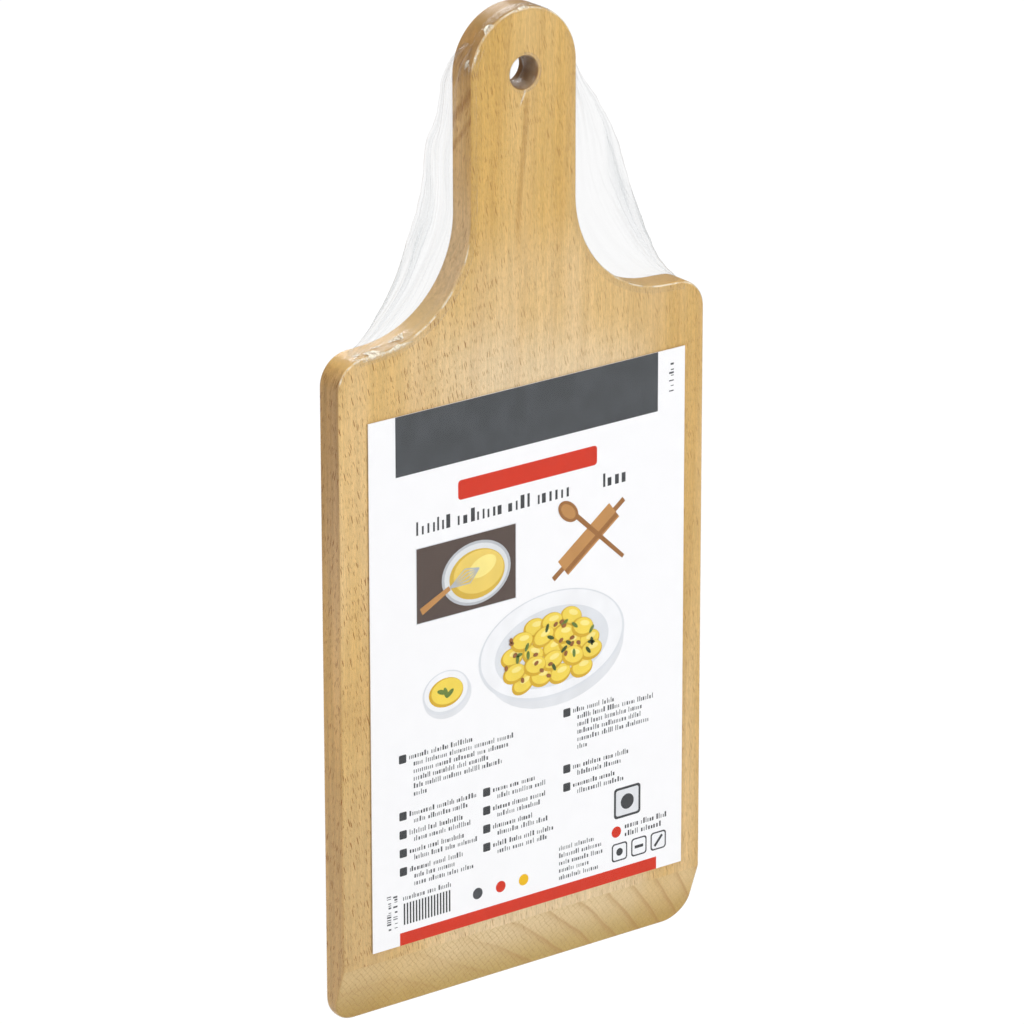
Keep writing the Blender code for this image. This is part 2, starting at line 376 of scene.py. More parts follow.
class Beech(Shader):
    """Steamed beech. Each step changes the colour so far."""

    def __init__(self, wood):
        super().__init__("beech")
        self.wood = wood
        self.place = self.coordinates("Object")
        self.across, self.depth, self.height = self.split(self.place)
        self.facing_x, self.facing_y, self.facing_z = self.split(self.coordinates("Normal"))
        self.on_side = abs(self.facing_x).rises(0.6, 0.8)
        self.on_edge = abs(self.facing_y).falls(0.35, 0.65)
        self.shoulder = BOARD_LOW.z + wood.shoulder_height
        self.crease = BOARD_LOW.z + wood.bevel_height
        below_crease = self.height.falls(self.crease - 0.0006, self.crease + 0.0002)
        self.on_bevel = below_crease * self.facing_y.falls(-0.6, -0.4)
        inputs = {"Factor": self.on_side, "A": self.across, "B": self.depth}
        self.flat = self.join(self.node("Mix", inputs)[0], self.height)
        self.fine = self.cloud((0.00045, 0.00045, 0.012), 3.0, 0.6)
        broad = self.cloud((0.016, 0.016, 0.180))
        self.colour = self.blend(broad.rises(0.40, 0.70), wood.middle_wood, wood.light_wood)

    def lay(self, share, tone, how="MIX"):
        self.colour = self.blend(share, self.colour, tone, how)

    def deepen(self, share, tone):
        self.lay(share, tone, "MULTIPLY")

    def leaning(self, degrees):
        return self.mapped(self.flat, turn=(0, 0, radians(degrees)))

    def tone_faces(self):
        """Deeper on the handle, pale in the blade's middle and on the bevel, duller at the left;
        painted shade on the bevel towards the foot and painted light on the neck's edges.
        """
        wood, across, height = self.wood, self.across, self.height
        self.deepen(height.rises(*HANDLE_FROM) * (1.0 - self.on_side), wood.handle_tint)
        on_blade = (height + across * 0.25).between(*BLADE_TO, 1.0, 0.25)
        on_blade = on_blade * height.falls(*PALE_TO)
        in_middle = abs(across - PALE_MIDDLE).falls(*PALE_HALF, 0.9) * across.falls(*PALE_RIGHT)
        self.lay(in_middle * on_blade, wood.pale_blade_and_neck_light)
        self.lay(across.falls(*DULL_LEFT, 0.5) * height.falls(*DULL_TO), wood.dull_wood)
        self.deepen(across.rises(*SHADE_RIGHT, 0.8), wood.right_shade)
        self.lay(self.on_bevel * 0.50, wood.bevel_wood)
        # Painted shade on the bevel, darker towards the foot where it rounds over
        to_foot = height.falls(BOARD_LOW.z, self.crease - 0.002)
        self.deepen(to_foot * self.on_bevel, wood.bevel_shade)
        # Painted light: the neck's edges, which face up and aside, are laid paler as if lit from
        # above
        shoulder = self.shoulder
        in_neck = height.band(shoulder - 0.004, shoulder + 0.012, *NECK_TO, 0.7)
        self.lay(in_neck * self.on_edge, wood.pale_blade_and_neck_light)

    def draw_streaks(self):
        """Slanting streaks on the handle's left side, and a painted shade of the film's crease that
        runs down from the hole.
        """
        on_left = self.facing_x.falls(-0.9, -0.6)
        slant = self.height + self.depth * 1.15
        for middle, half, strength in STREAKS:
            shade = abs(slant - middle).falls(0.0, half, strength)
            self.deepen(shade * on_left, self.wood.streak_and_crease_shade)
        # Painted shade: a faint dark line under the film's crease, running down from the hole
        wander = self.height.between(-0.050, -0.006, -0.0023, 0.0009)
        shade = abs(self.across - wander).falls(0.0002, 0.0017, 0.5)
        shade = shade * self.height.band(-0.070, -0.040, -0.010, -0.006)
        self.deepen(shade, self.wood.streak_and_crease_shade)

    def draw_grain(self):
        """Fine grain along the board, in three widths."""
        speckle = self.cloud((0.00032, 0.00032, 0.0016))
        streak = self.cloud((0.0016, 0.0016, 0.050))
        darkest = self.on_side.between(0.0, 1.0, 0.96, 0.88)
        grain = self.fine.between(0.30, 0.70, 0.92, 1.05) * speckle.between(0.30, 0.70, 0.91, 1.06)
        grain = grain * streak.between(0.35, 0.65, darkest, 1.04)
        self.deepen(self.on_bevel.between(0.0, 1.0, 1.0, 0.45), grain)

    def draw_rings(self):
        """Growth rings, by their distance from the pith, clearest at the right of the bevel."""
        wood = self.wood
        lean = (*map(radians, RING_LEAN), 0)
        from_pith = self.mapped(self.place, (1, 1, 1), lean, (-wood.pith_side, -wood.pith_depth, 0))
        radius = self.length(from_pith, (1, 1, 0))
        radius = radius + self.cloud((0.040, 0.040, 0.200)) * 0.0036
        radius = radius + self.cloud((0.012, 0.012, 0.060)) * 0.0006
        phase = self.math("FRACT", radius / wood.ring_width)
        late = self.math("POWER", phase, 6.0) * phase.falls(0.90, 1.0)
        on_bevel = self.on_bevel * self.across.between(*RINGS_RIGHT, 0.25, 0.80)
        elsewhere = self.on_edge.between(0.0, 1.0, 0.22, 0.08)
        self.lay(late * self.larger(on_bevel, elsewhere), wood.ring_wood)

    def draw_flecks(self):
        """Ray flecks: short dark dashes along the grain, more of them on the left."""
        flecked = self.across.between(*FLECKS_RIGHT, 1.0, 0.50) * (1.0 - self.on_bevel)
        flecked = flecked * abs(self.facing_z).between(0.35, 0.65, 1.0, 0.1)
        for lean, (width, length), first, full, strength in FLECKS:
            cells = self.cells(self.mapped(self.leaning(lean), (1 / width, 1 / length, 1)))
            size, draw = self.split(cells["Color"])[:2]
            reach = size.between(0.0, 1.0, *FLECK_REACH)
            shade = (reach - cells["Distance"]).rises(-0.02, 0.04)
            shade = shade * draw.rises(first, full, strength)
            self.lay(shade * flecked, self.wood.fleck_wood)

    def draw_hatch(self):
        """The scraping bevel cuts the rays slantwise and shows them as a slanting hatch."""
        hatched = self.across.between(*HATCH_RIGHT, 1.0, 0.45) * self.on_bevel
        sway = self.cloud((0.0050, 0.0050, 0.0050)) * 1.1
        for lean, spacing, strength in HATCHES:
            crossing, running = self.split(self.leaning(lean))[:2]
            lines = crossing / spacing + sway
            row = self.math("FLOOR", lines) * 7.3
            broken = self.noise(self.join(running / 0.0022 + row, row), (1, 1, 1), 1.0)
            shade = abs(self.math("FRACT", lines) - 0.5).falls(0.02, 0.13)
            shade = shade * broken.between(0.36, 0.56, 0.1, strength)
            self.lay(shade * hatched, self.wood.hatch_wood)

    def tone_cuts_and_edges(self):
        """Dark in the drilled hole, from its cut grain and painted shade, and where the grain is
        cut; shaded along the edges, with a warm tint of painted light on the shoulders' tops.
        """
        wood, height, shoulder = self.wood, self.height, self.shoulder
        rim = wood.hole_diameter / 2
        # The drilled hole: its cut grain, darkened further as painted shade inside it
        in_bore = self.length(self.place, (1, 0, 1)).falls(rim + 0.0001, rim + 0.0005, 0.75)
        self.lay(self.larger(in_bore, abs(self.facing_z).rises(0.6, 0.85, 0.04)), wood.cut_grain_and_hole_shade)
        self.deepen(self.on_side * 0.7, wood.side_tint)
        below = height.band(shoulder - 0.120, shoulder - 0.040, shoulder - 0.008, shoulder)
        self.deepen(below * self.on_side, wood.side_shade)
        self.deepen(height.rises(*END_FROM) * self.on_edge, wood.end_shade)
        # Painted light: warm tint where the shoulders' tops face up
        on_shoulder = self.facing_z.rises(0.5, 0.95) * self.on_edge
        self.deepen(on_shoulder * height.falls(*SHOULDER_TOP_TO), wood.shoulder_top_light_tint)


def beech_material(wood):
    beech = Beech(wood)
    beech.tone_faces()
    beech.draw_streaks()
    beech.draw_grain()
    beech.draw_rings()
    beech.draw_flecks()
    beech.draw_hatch()
    beech.tone_cuts_and_edges()
    surface = {
        "Base Color": beech.colour,
        "Roughness": beech.fine.between(0.2, 0.8, 0.56, 0.46),
        "Specular IOR Level": 0.25,
        "Normal": beech.bump(beech.fine, 0.00004, 0.5),
    }
    return beech.finish(beech.node("BsdfPrincipled", surface)[0])


def paper_material(card):
    """The card's white, with the faint cloudiness of coated board."""
    shader = Shader("printed_card")
    cloud = shader.cloud((0.004, 0.004, 0.004), 4.0)
    surface = {
        "Base Color": shader.clouded(cloud, card.paper, 0.985),
        "Roughness": cloud.between(0.3, 0.7, 0.38, 0.46),
        "Normal": shader.bump(cloud, 0.00003, 0.4),
    }
    return shader.finish(shader.node("BsdfPrincipled", surface)[0])


def ink_material(name, colour, uneven):
    """A printed colour, a little uneven as ink on coated board is."""
    shader = Shader("ink_" + name)
    mottle = shader.cloud((0.006, 0.006, 0.009))
    tone = mottle.between(0.3, 0.7, 1 - uneven, 1 + uneven)
    surface = {
        "Base Color": shader.blend(1.0, colour, tone, "MULTIPLY"),
        "Roughness": mottle.between(0.3, 0.7, 0.40, 0.46),
        "Specular IOR Level": 0.25,
    }
    return shader.finish(shader.node("BsdfPrincipled", surface)[0])


# The least share of colour that clear film shows between its folds
FAINT_FOLD = 0.004


def finish_film(shader, film, colour, folds, relief, gloss_share):
    """Clear film: it lets most light through, mirrors at a slant and shows colour where folded.

    A sheet has two faces and only the outer one does this, so that it counts once.
    """
    outer = 1.0 - shader.node("NewGeometry")["Backfacing"]
    clear = shader.node("BsdfTransparent", {"Color": film.haze})[0]
    body = {"Base Color": colour, "Roughness": 0.25, "Normal": relief}
    gloss = shader.node("BsdfGlossy", {"Roughness": 0.20, "Normal": relief})[0]
    slanting = shader.node("Fresnel", {"IOR": 1.45, "Normal": relief})[0]
    seen = shader.mixed(folds * outer, clear, shader.node("BsdfPrincipled", body)[0])
    return shader.finish(shader.mixed(slanting * gloss_share * outer, seen, gloss))


def skin_film_material(film):
    """Film drawn tight on wood and card."""
    shader = Shader("clear_film")
    across, depth, height = shader.split(shader.coordinates("Object"))
    facing_y, facing_z = shader.split(shader.coordinates("Normal"))[1:]
    crinkle = shader.cloud((0.0035, 0.0035, 0.0080), 3.0)
    relief = shader.cloud((0.016, 0.016, 0.030)) + crinkle * 0.12

    # A small crease in the front, down from the hanging hole, painted as a pale highlight line
    middle = height.between(-0.0110, -0.0056, -0.0017, 0.0002)
    crease = abs(across - middle).falls(0.00010, 0.00060) * depth.falls(-0.004, -0.003)
    crease = crease * height.band(-0.0112, -0.0075, -0.0056, -0.0052, 0.45)

    # A broken painted highlight line where the film turns over the front edges that face up
    line = facing_y.band(-0.97, -0.88, -0.66, -0.50) * facing_z.rises(0.06, 0.20)
    line = line * height.rises(-0.094, -0.086) * crinkle.between(0.38, 0.60, 0.06, 0.52)
    folds = shader.larger(crease, line) + FAINT_FOLD
    relief = shader.bump(relief, 0.0012, 0.5)
    return finish_film(shader, film, film.crease_highlight_white, folds, relief, gloss_share=0.25)


def web_film_material(film, smooth_from, least):
    """Film between handle and shoulder, streaked along its folds, more so at its outer edge.

    smooth_from is where it is smooth, from 0 at the outer edge to 0.5 at the wood, and least
    is the share of the streaks that is left there.
    """
    shader = Shader("web_film")
    folds = shader.coordinates("UV")
    streaked = abs(shader.split(folds)[1] - 0.5).between(0.05, smooth_from, 1.0, least)
    drift = shader.noise(folds, (2.2, 2.2, 1), 1.0) * 0.22
    bent = shader.node("VectorMath", {0: folds, 1: shader.join(0.0, drift)})["Vector"]
    wide = shader.noise(bent, (1.1, 15, 1), 1.0)
    thin = shader.noise(bent, (1.6, 40, 1))
    grey = wide.rises(0.48, 0.66, 0.22) + thin.rises(0.58, 0.66, 0.20)
    grey = grey * streaked + FAINT_FOLD
    relief = shader.bump(wide + thin, 0.0008, 0.5)
    return finish_film(shader, film, film.fold_grey, grey, relief, gloss_share=0.4)


def ruffle_film_material(film, name, length, crumpled):
    """Ruffled film on the board's edges, whose white facets are painted highlights.

    length is the band's length over its width; crumpled is how much of it shows as white facets,
    painted highlights.
    """
    shader = Shader(name)
    folds = shader.coordinates("UV")
    along, across = shader.split(folds)[:2]
    creases = shader.noise(folds, (5 * length, 2.5, 1), 3.0, 0.6)
    facets = shader.cells(shader.mapped(folds, (1.7 * length, 3.4, 1), (0, 0, 0.5)))
    # Painted highlights: white facets where the crumples would catch the light
    rarest = 1 - 0.75 * crumpled
    shards = shader.split(facets["Color"])[0].between(rarest, rarest + 0.1, 0.02, 0.92)
    shards = shards * creases.between(0.40, 0.55, 0.35, 1.0)
    fade = across.band(0.0, 0.25, 0.75, 1.0) * along.band(0.0, 0.12, 0.88, 1.0)
    relief = shader.bump(creases, 0.0006, 0.7)
    return finish_film(shader, film, film.crease_highlight_white, shards * fade, relief, gloss_share=0.5)


def lip_film_material(film):
    """Torn film in the hanging hole, which veils the right half of its wall."""
    shader = Shader("hole_film")
    across = shader.split(shader.coordinates("Object"))[0]
    rough = shader.cloud((0.0016, 0.0040, 0.0040))
    veil = across.between(-0.0006, 0.0004, 0.02, 0.17) * rough.between(0.3, 0.7, 0.4, 1.3)
    relief = shader.bump(rough, 0.0006, 0.6)
    return finish_film(shader, film, film.veil, veil, relief, gloss_share=0.25)


# Strength of the white that the floor shows, and its share that is lit and shadowed instead
FLOOR_WHITE = 1.06
FLOOR_LIT = 0.12


def floor_material(studio):
    """Pale floor that shows white to the camera, less the shadow."""
    shader = Shader("pale_floor")
    colour = shader.clouded(shader.cloud((0.5, 0.5, 0.5)), studio.floor, 0.98)
    lit = shader.node("BsdfDiffuse", {"Color": colour})[0]
    white = shader.node("Emission", {"Strength": FLOOR_WHITE})[0]
    seen = shader.mixed(FLOOR_LIT, white, lit)
    return shader.finish(shader.mixed(shader.direct_rays(), lit, seen))


def new_object(name, shape, materials=()):
    """Makes an object of a bmesh, which is freed."""
    mesh = bpy.data.meshes.new(name)
    shape.to_mesh(mesh)
    shape.free()
    for material in materials:
        mesh.materials.append(material)
    made = bpy.data.objects.new(name, mesh)
    bpy.context.scene.collection.objects.link(made)
    return made


def new_piece(name, shape, materials):
    """Makes a piece of a bmesh, at the origin, riding on the board's body."""
    piece = new_object(name, shape, materials)
    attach(piece, BODY)
    return piece


def shade_round(piece):
    """Shades rounded edges smoothly and the flat faces beside them flat."""
    piece.data.shade_smooth()
    piece.data.set_sharp_from_angle(angle=SHADED_SHARP)
    weighted = piece.modifiers.new("flat_shading", "WEIGHTED_NORMAL")
    weighted.keep_sharp = True


def apply_modifiers(piece):
    depsgraph = bpy.context.evaluated_depsgraph_get()
    mesh = bpy.data.meshes.new_from_object(piece.evaluated_get(depsgraph))
    old = piece.data
    piece.modifiers.clear()
    piece.data = mesh
    mesh.name = old.name
    bpy.data.meshes.remove(old)


def bore(piece, diameter):
    """Cuts a round hole through a piece, along Y through the origin."""
    shape = bmesh.new()
    bmesh.ops.create_cone(
        shape,
        cap_ends=True,
        segments=HOLE_SIDES,
        radius1=diameter / 2,
        radius2=diameter / 2,
        depth=DRILL_LENGTH,
        matrix=Matrix.Rotation(pi / 2, 4, "X"),
    )
    drill = new_object("drill", shape)
    mesh = drill.data
    cut = piece.modifiers.new("bore", "BOOLEAN")
    cut.operation = "DIFFERENCE"
    cut.solver = "EXACT"
    cut.object = drill
    apply_modifiers(piece)
    bpy.data.objects.remove(drill)
    bpy.data.meshes.remove(mesh)


def arc(centre, radius, start, end, steps):
    """Points (x, z) at equal steps round a centre, from one angle to another."""
    turn = (end - start) / steps
    points = []
    for step in range(steps + 1):
        angle = start + turn * step
        points.append(Vector((centre[0] + radius * cos(angle), centre[1] + radius * sin(angle))))
    return points


def shoulder_centre(wood):
    """The centre of the right shoulder's corner."""
    corner = wood.shoulder_corner
    return BOARD_HIGH.x - corner, BOARD_LOW.z + wood.shoulder_height - corner


def end_centre(wood):
    """The centre of the handle's round end."""
    return 0, BOARD_HIGH.z - wood.handle_width / 2


def neck_arc(wood, grow, steps):
    """The fillet from the right shoulder to the handle's side, moved outwards by grow."""
    fall = wood.shoulder_fall
    radius = wood.neck_fillet - grow
    corner_x, corner_z = shoulder_centre(wood)
    leave_x = corner_x + (wood.shoulder_corner + grow) * sin(fall)
    leave_z = corner_z + (wood.shoulder_corner + grow) * cos(fall)
    centre_x = wood.handle_width / 2 + wood.neck_fillet
    touch_x = centre_x - radius * sin(fall)
    touch_z = leave_z + tan(fall) * (leave_x - touch_x)
    centre = (centre_x, touch_z + radius * cos(fall))
    return arc(centre, radius, -pi / 2 - fall, -pi, steps)


def board_outline(wood, grow):
    """The paddle's outline as points (x, z), moved outwards by grow."""
    foot_centre = (BOARD_HIGH.x - wood.foot_corner, BOARD_LOW.z + wood.foot_corner)
    level = pi / 2 - wood.shoulder_fall
    rounded = wood.shoulder_corner + grow
    right = arc(foot_centre, wood.foot_corner + grow, -pi / 2, 0, FOOT_STEPS)
    right += arc(shoulder_centre(wood), rounded, 0, level, SHOULDER_STEPS)
    right += neck_arc(wood, grow, NECK_STEPS)
    right += arc(end_centre(wood), wood.handle_width / 2 + grow, 0, pi / 2, END_STEPS)
    left = [Vector((-point.x, point.y)) for point in reversed(right[:-1])]
    return right + left


def extruded(shape, outline, start, thickness):
    """Extrudes an outline of points (x, z) along Y. Gives its first face and the moved corners."""
    face = shape.faces.new([shape.verts.new((x, start, z)) for x, z in outline])
    grown = bmesh.ops.extrude_face_region(shape, geom=[face])
    moved = [part for part in grown["geom"] if isinstance(part, bmesh.types.BMVert)]
    bmesh.ops.translate(shape, verts=moved, vec=(0, thickness, 0))
    return face, moved


def paddle(wood, grow):
    """The board's solid without its hole, moved outwards by grow, with rounded edges."""
    front, back = BOARD_LOW.y - grow, BOARD_HIGH.y + grow
    shape = bmesh.new()
    extruded(shape, board_outline(wood, grow), front, back - front)

    depth = BOARD_HIGH.y - wood.foot_edge - BOARD_LOW.y
    outward = Vector((0, -wood.bevel_height, -depth)).normalized()
    crease = Vector((0, BOARD_LOW.y, BOARD_LOW.z + wood.bevel_height))
    cut = bmesh.ops.bisect_plane(
        shape,
        geom=shape.verts[:] + shape.edges[:] + shape.faces[:],
        plane_co=crease + outward * grow,
        plane_no=outward,
        clear_outer=True,
    )
    rim = [part for part in cut["geom_cut"] if isinstance(part, bmesh.types.BMEdge)]
    bmesh.ops.edgeloop_fill(shape, edges=rim)
    bmesh.ops.recalc_face_normals(shape, faces=shape.faces)
    round_edges(shape, sharp_edges(shape, SHARP), wood.edge_rounding + grow, EDGE_STEPS)
    return shape


def sharp_edges(shape, angle):
    pairs = [edge for edge in shape.edges if len(edge.link_faces) == 2]
    return [edge for edge in pairs if edge.calc_face_angle() > angle]


def rim_edges(shape, radius):
    """The two sharp rims of the hanging hole."""
    return [
        edge
        for edge in sharp_edges(shape, SHARP_RIM)
        if all(hypot(vert.co.x, vert.co.z) < radius + NEAR_RIM for vert in edge.verts)
    ]


def round_edges(shape, edges, radius, steps):
    bmesh.ops.bevel(
        shape,
        geom=edges,
        offset=radius,
        segments=steps,
        profile=0.5,
        affect="EDGES",
        material=-1,
    )


class SPAETZLE_OT_beech_board(bpy.types.Operator):
    """Adds the wooden board with its rounded edges, scraping bevel and hanging hole"""

    bl_idname = "spaetzle.beech_board"
    bl_label = "Beech board"

    def execute(self, context):
        wood = context.scene.spaetzle_beech
        board = new_piece("beech_board", paddle(wood, 0), [beech_material(wood)])
        bore(board, wood.hole_diameter)
        shape = bmesh.new()
        shape.from_mesh(board.data)
        rims = rim_edges(shape, wood.hole_diameter / 2)
        round_edges(shape, rims, wood.hole_rounding, RIM_STEPS)
        shape.to_mesh(board.data)
        shape.free()
        shade_round(board)
        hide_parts("board")
        return {"FINISHED"}


# The card's layout, in millimetres from its top left corner, on a card of this height
LAYOUT_HEIGHT = 174.1
BAND = (10.0, 0.0, 100.8, 19.4)
STRIP = (10.3, 169.9, 101.0, 4.2)
RED_BAR = (33.5, 25.4, 53.5, 6.4)
TILE = (17.6, 44.2, 37.8, 24.4)
DISH = (69.5, 87.6, 28.5, 17.8)
BUTTER_BOWL = (28.5, 93.6)
# Name and colour; None stands for the card's own setting of that name
INKS = (
    ("charcoal", None),
    ("red", None),
    ("yellow", None),
    ("small_print", None),
    ("icon_grey", shown(62, 64, 67)),
    ("pale_grey", shown(226, 228, 232)),
    ("dish_rim", shown(243, 244, 247)),
    ("dish_well", shown(222, 225, 230)),
    ("slate", shown(86, 72, 66)),
    ("steel", shown(188, 192, 197)),
    ("steel_light", shown(222, 225, 228)),
    ("batter", shown(236, 206, 104)),
    ("batter_shade", shown(214, 178, 70)),
    ("dumpling", shown(242, 214, 84)),
    ("dumpling_light", shown(250, 232, 140)),
    ("dumpling_shade", shown(214, 172, 46)),
    ("crumb", shown(150, 96, 52)),
    ("leaf", shown(104, 128, 58)),
    ("leaf_dark", shown(66, 86, 42)),
    ("spoon_wood", shown(192, 140, 82)),
    ("spoon_shade", shown(156, 106, 58)),
)
INK_LAYERS = 22
# How far a printed colour varies to both sides, in the dark band and elsewhere
BAND_UNEVEN = 0.10
INK_UNEVEN = 0.03
INK_INDEX = {name: index for index, (name, colour) in enumerate(INKS)}


class CardPrint:
    """Thin plates of ink on the card, each a closed solid on its own layer."""

    def __init__(self, card):
        self.shape = bmesh.new()
        self.thickness = card.ink_thickness
        self.tall = (CARD_HIGH.z - CARD_LOW.z) / (LAYOUT_HEIGHT * MILLIMETRE)

    def place(self, right, down):
        """A point of the layout as (x, z) in the part's frame."""
        return CARD_LOW.x + right * MILLIMETRE, CARD_HIGH.z - down * MILLIMETRE * self.tall

    def plate(self, outline, ink, layer=0):
        """A closed plate of one ink, over an outline of layout points."""
        back = CARD_LOW.y - layer * self.thickness
        corners = [self.place(right, down) for right, down in outline]
        face, moved = extruded(self.shape, corners, back, -self.thickness)
        for side in {near for vert in moved for near in vert.link_faces} | {face}:
            side.material_index = INK_INDEX[ink]

    def bar(self, box, ink, layer=0):
        """box is left, top, width and height."""
        left, top, width, height = box
        right, bottom = left + width, top + height
        self.plate([(left, top), (right, top), (right, bottom), (left, bottom)], ink, layer)

    def round_bar(self, box, radius, ink, layer=0):
        left, top, width, height = box
        near, far = left + radius, left + width - radius
        upper, lower = top + radius, top + height - radius
        corners = ((far, upper, -90), (far, lower, 0), (near, lower, 90), (near, upper, 180))
        outline = []
        for right, down, start in corners:
            for step in range(7):
                angle = radians(start + step * 15)
                outline.append((right + radius * cos(angle), down + radius * sin(angle)))
        self.plate(outline, ink, layer)

    def oval(self, centre, half_width, half_height, ink, layer=0, turn=0.0, steps=36):
        """turn is in degrees; a pointed leaf is an oval with few steps."""
        lean = Matrix.Rotation(radians(turn), 2)
        outline = []
        for step in range(steps):
            angle = 2 * pi * step / steps
            reach = lean @ Vector((half_width * cos(angle), half_height * sin(angle)))
            outline.append((centre[0] + reach.x, centre[1] + reach.y))
        self.plate(outline, ink, layer)

    def stroke(self, start, end, width, ink, layer=0, end_width=None):
        """A straight band from start to end, which may widen or narrow."""
        start, end = Vector(start), Vector(end)
        side = (end - start).orthogonal().normalized()
        near = side * width / 2
        far = side * (width if end_width is None else end_width) / 2
        self.plate([start + near, start - near, end - far, end + far], ink, layer)

    def words(self, left, top, width, height, ink, dice):
        """A line of upright strokes of many widths and heights, in groups."""
        at = left
        while at < left + width - 2 * height:
            stop = at + height * dice.uniform(1.6, 5.6)
            while at < min(stop, left + width):
                wide = height * dice.choice((0.16, 0.20, 0.34))
                tall = height * dice.choice((0.62, 0.68, 0.72, 1.0))
                self.bar((at, top + height - tall, wide, tall), ink)
                at += wide + height * dice.choice((0.20, 0.26, 0.32))
            at += height * 0.45

    def words_down(self, left, top, width, height, ink, dice):
        """The same, turned to run down a margin."""
        at = top
        while at < top + height - 0.3:
            tall = width * dice.choice((0.62, 0.70, 1.0))
            wide = width * dice.choice((0.16, 0.22, 0.36))
            self.bar((left + width - tall, at, tall, wide), ink)
            at += wide + width * dice.choice((0.22, 0.28, 0.75))


def print_small_text(sheet, dice):
    """Blocks of strokes, in three columns, each behind a small dark square."""
    blocks = (
        (10.4, 110.4, (28, 46, 42, 33, 38, 12)),
        (74.0, 110.4, (24, 34, 33, 30, 36, 9)),
        (10.4, 129.4, (30, 24)),
        (42.6, 129.4, (20, 26)),
        (74.0, 129.4, (26, 21)),
        (10.4, 135.6, (24, 28)),
        (42.6, 135.6, (25, 21)),
        (74.0, 135.6, (20, 25)),
        (10.4, 141.8, (26, 31)),
        (42.6, 141.8, (21, 27)),
        (10.4, 148.0, (28, 22, 30)),
        (42.6, 148.0, (27, 24)),
    )
    for left, top, lines in blocks:
        sheet.round_bar((left, top, 2.8, 2.8), 0.4, "icon_grey")
        for row, width in enumerate(lines):
            inset = 3.9 if row == 0 else 5.6
            ink = "icon_grey" if row == 0 else "small_print"
            sheet.words(left + inset, top + 0.3 + row * 2.52, width - 4, 1.7, ink, dice)


def print_heading(sheet, dice):
    """A plain red bar over one line of large strokes."""
    sheet.round_bar(RED_BAR, 1.2, "red")
    for left, width in ((17.6, 32.0), (52.6, 34.0), (89.4, 14.0)):
        sheet.words(left, 35.4, width, 4.4, "icon_grey", dice)


def print_tile(sheet):
    """A picture tile: a steel bowl of batter with a whisk, on dark slate."""
    left, top, width, height = TILE
    sheet.bar((left - 0.3, top - 0.3, width + 0.6, height + 0.6), "pale_grey")
    sheet.bar(TILE, "slate", 1)
    centre = (left + width * 0.60, top + height * 0.52)
    sheet.oval(centre, 13.2, 10.4, "steel", 2)
    sheet.oval(centre, 12.2, 9.5, "steel_light", 3)
    sheet.oval((centre[0] + 0.3, centre[1] + 0.4), 10.6, 8.1, "batter_shade", 4)
    sheet.oval((centre[0] + 0.9, centre[1] - 0.2), 9.6, 7.0, "batter", 5)
    sheet.oval((centre[0] + 2.4, centre[1] - 1.6), 5.4, 3.2, "dumpling_light", 6, -18)
    grip = Vector((left + 1.6, top + height - 3.6))
    neck = Vector((left + 12.5, top + height - 9.0))
    tip = Vector((centre[0] + 1.0, centre[1] - 1.4))
    sheet.stroke(grip, neck, 2.4, "spoon_wood", 6, 1.6)
    side = (tip - neck).orthogonal().normalized()
    for layer, bulge in enumerate((-2.6, -1.3, 0.0, 1.3, 2.6)):
        middle = neck.lerp(tip, 0.60) + side * bulge
        sheet.stroke(neck, middle, 0.38, "steel", 7 + 2 * layer)
        sheet.stroke(middle, tip, 0.38, "steel", 8 + 2 * layer)


def print_pin_and_spoon(sheet):
    """A rolling pin and a spoon, crossed, in wood colours."""
    sheet.stroke((70.0, 66.0), (74.2, 62.9), 1.8, "spoon_shade")
    sheet.stroke((93.4, 48.6), (97.6, 45.4), 1.8, "spoon_shade")
    sheet.stroke((73.8, 63.2), (93.8, 48.2), 6.6, "spoon_wood", 1)
    sheet.stroke((74.9, 64.7), (94.9, 49.7), 1.6, "spoon_shade", 2)
    sheet.stroke((78.6, 46.6), (97.4, 64.4), 1.7, "spoon_shade", 3, 1.3)
    sheet.oval((75.8, 44.8), 4.6, 2.9, "spoon_shade", 4, 43)
    sheet.oval((75.8, 44.8), 3.4, 1.9, "spoon_wood", 5, 43)


def print_dish(sheet, dice):
    """An oval dish with round dumplings, leaves and crumbs."""
    right, down, half_width, half_height = DISH
    sheet.oval((right + 1.5, down + 3.2), half_width * 0.94, half_height * 0.98, "pale_grey")
    sheet.oval((right, down), half_width, half_height, "dish_well", 1, 0, 64)
    sheet.oval((right, down - 0.4), half_width - 0.9, half_height - 0.8, "dish_rim", 2, 0, 64)
    sheet.oval((right, down + 0.6), half_width * 0.78, half_height * 0.74, "dish_well", 3, 0, 64)
    rows = ((97.6, 4), (93.2, 5), (88.8, 5), (84.4, 4), (80.2, 3))
    for row, (height, count) in enumerate(rows):
        for i in range(count):
            middle = right + (i - (count - 1) / 2) * 7.6
            place = (middle + dice.uniform(-0.9, 0.9), height + dice.uniform(-0.7, 0.7))
            turn = dice.uniform(-25, 25)
            layer = 4 + 3 * (2 * (row % 2) + i % 2)
            top = (place[0] + 0.3, place[1] - 0.4)
            shine = (top[0] + 0.6, top[1] - 0.8)
            sheet.oval(place, 4.4, 3.3, "dumpling_shade", layer, turn, 24)
            sheet.oval(top, 3.8, 2.7, "dumpling", layer + 1, turn, 24)
            sheet.oval(shine, 1.9, 0.9, "dumpling_light", layer + 2, turn, 16)
    for i in range(16):
        place = (right + dice.uniform(-17, 17), down + dice.uniform(-8, 9))
        ink = "leaf" if i % 2 else "leaf_dark"
        sheet.oval(place, 1.5, 0.62, ink, 16 + i % 2, dice.uniform(0, 180), 10)
    for i in range(18):
        place = (right + dice.uniform(-19, 18), down + dice.uniform(-7, 11))
        sheet.oval(place, 1.0, 0.7, "crumb", 18 + i % 2, dice.uniform(0, 180), 7)


